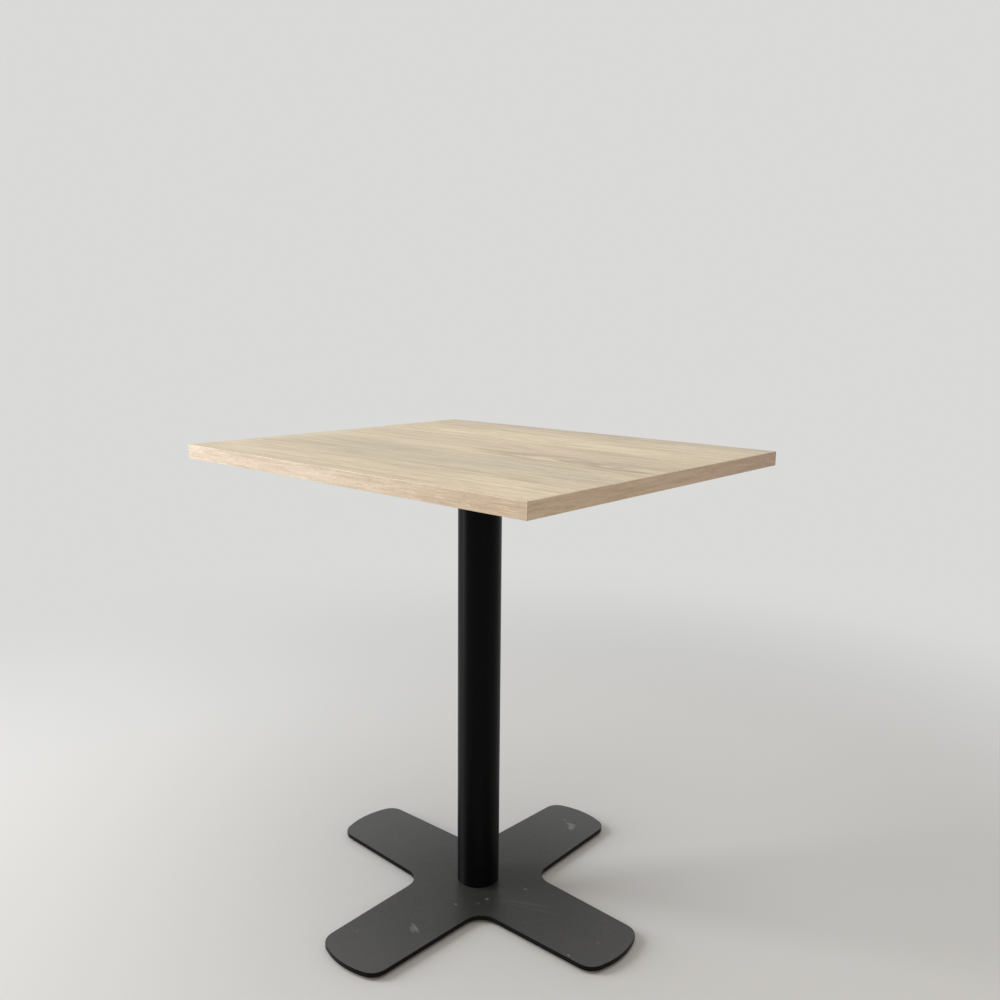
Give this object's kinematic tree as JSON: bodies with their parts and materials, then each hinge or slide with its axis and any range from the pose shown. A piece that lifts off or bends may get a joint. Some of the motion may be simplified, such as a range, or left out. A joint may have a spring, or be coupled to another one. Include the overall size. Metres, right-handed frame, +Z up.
{
  "type": "canteen table",
  "caption": "Rectangular laminate-topped canteen table on a round steel column, with a flat cross-shaped base that stands on levelling glides.",
  "frame": {"origin": "on the floor below the column's axis, at the underside of the glides", "axes": "+X along the long side of the top, +Y along its short side, +Z up"},
  "size_m": [0.7, 0.6, 0.75],
  "materials": {
    "oak_decor": "matt pale oak laminate with a fine pressed grain along the long side",
    "oak_band": "matt plastic edge band printed with pale oak grain",
    "backing_sheet": "plain pale grey balancing sheet",
    "chipboard": "pressed wood chips",
    "column_coat": "satin black powder coat",
    "base_coat": "matt dark grey powder coat with light scuffs",
    "bracket_coat": "matt black powder coat",
    "bare_steel": "sawn steel bar",
    "bright_zinc": "bright zinc plate",
    "black_zinc": "black zinc plate",
    "stud_steel": "zinc-plated stud",
    "black_nylon": "moulded black nylon"
  },
  "bodies": {
    "table": {"top_core": "chipboard", "top_laminate": "oak_decor", "backing_laminate": "backing_sheet", "edge_band_front": "oak_band", "edge_band_back": "oak_band", "edge_band_left": "oak_band", "edge_band_right": "oak_band", "top_bracket": "bracket_coat", "bracket_bolt_1": "bright_zinc", "bracket_bolt_2": "bright_zinc", "bracket_bolt_3": "bright_zinc", "bracket_bolt_4": "bright_zinc", "top_screw_right_outer": "bright_zinc", "top_screw_right_inner": "bright_zinc", "top_screw_back_outer": "bright_zinc", "top_screw_back_inner": "bright_zinc", "top_screw_left_outer": "bright_zinc", "top_screw_left_inner": "bright_zinc", "top_screw_front_outer": "bright_zinc", "top_screw_front_inner": "bright_zinc", "column_tube": "column_coat", "column_top_disc": "bare_steel", "column_base_disc": "bare_steel", "base_plate": "base_coat", "base_bolt_1": "black_zinc", "base_bolt_2": "black_zinc", "base_bolt_3": "black_zinc", "base_bolt_4": "black_zinc"},
    "foot_right": {"glide_pad_right": "black_nylon"},
    "foot_back": {"glide_pad_back": "black_nylon"},
    "foot_left": {"glide_pad_left": "black_nylon"},
    "foot_front": {"glide_pad_front": "black_nylon"},
    "stud_right": {"glide_stud_right": "stud_steel"},
    "stud_back": {"glide_stud_back": "stud_steel"},
    "stud_left": {"glide_stud_left": "stud_steel"},
    "stud_front": {"glide_stud_front": "stud_steel"}
  },
  "joints": [
    {"name": "foot_travel_right", "type": "slide", "parent": "table", "child": "foot_right", "axis": [0, 0, -1], "range_m": [0, 0.003]},
    {"name": "stud_turn_right", "type": "hinge", "parent": "foot_right", "child": "stud_right", "pos_m": [0.255, 0, 0.005], "axis": [0, 0, -1], "range_deg": [0, 864]},
    {"name": "foot_travel_back", "type": "slide", "parent": "table", "child": "foot_back", "axis": [0, 0, -1], "range_m": [0, 0.003]},
    {"name": "stud_turn_back", "type": "hinge", "parent": "foot_back", "child": "stud_back", "pos_m": [0, 0.255, 0.005], "axis": [0, 0, -1], "range_deg": [0, 864]},
    {"name": "foot_travel_left", "type": "slide", "parent": "table", "child": "foot_left", "axis": [0, 0, -1], "range_m": [0, 0.003]},
    {"name": "stud_turn_left", "type": "hinge", "parent": "foot_left", "child": "stud_left", "pos_m": [-0.255, 0, 0.005], "axis": [0, 0, -1], "range_deg": [0, 864]},
    {"name": "foot_travel_front", "type": "slide", "parent": "table", "child": "foot_front", "axis": [0, 0, -1], "range_m": [0, 0.003]},
    {"name": "stud_turn_front", "type": "hinge", "parent": "foot_front", "child": "stud_front", "pos_m": [0, -0.255, 0.005], "axis": [0, 0, -1], "range_deg": [0, 864]}
  ],
  "couplings": [
    {"joint": "foot_travel_right", "follows": "stud_turn_right", "m_per_rad": 0.00019894},
    {"joint": "foot_travel_back", "follows": "stud_turn_back", "m_per_rad": 0.00019894},
    {"joint": "foot_travel_left", "follows": "stud_turn_left", "m_per_rad": 0.00019894},
    {"joint": "foot_travel_front", "follows": "stud_turn_front", "m_per_rad": 0.00019894}
  ]
}
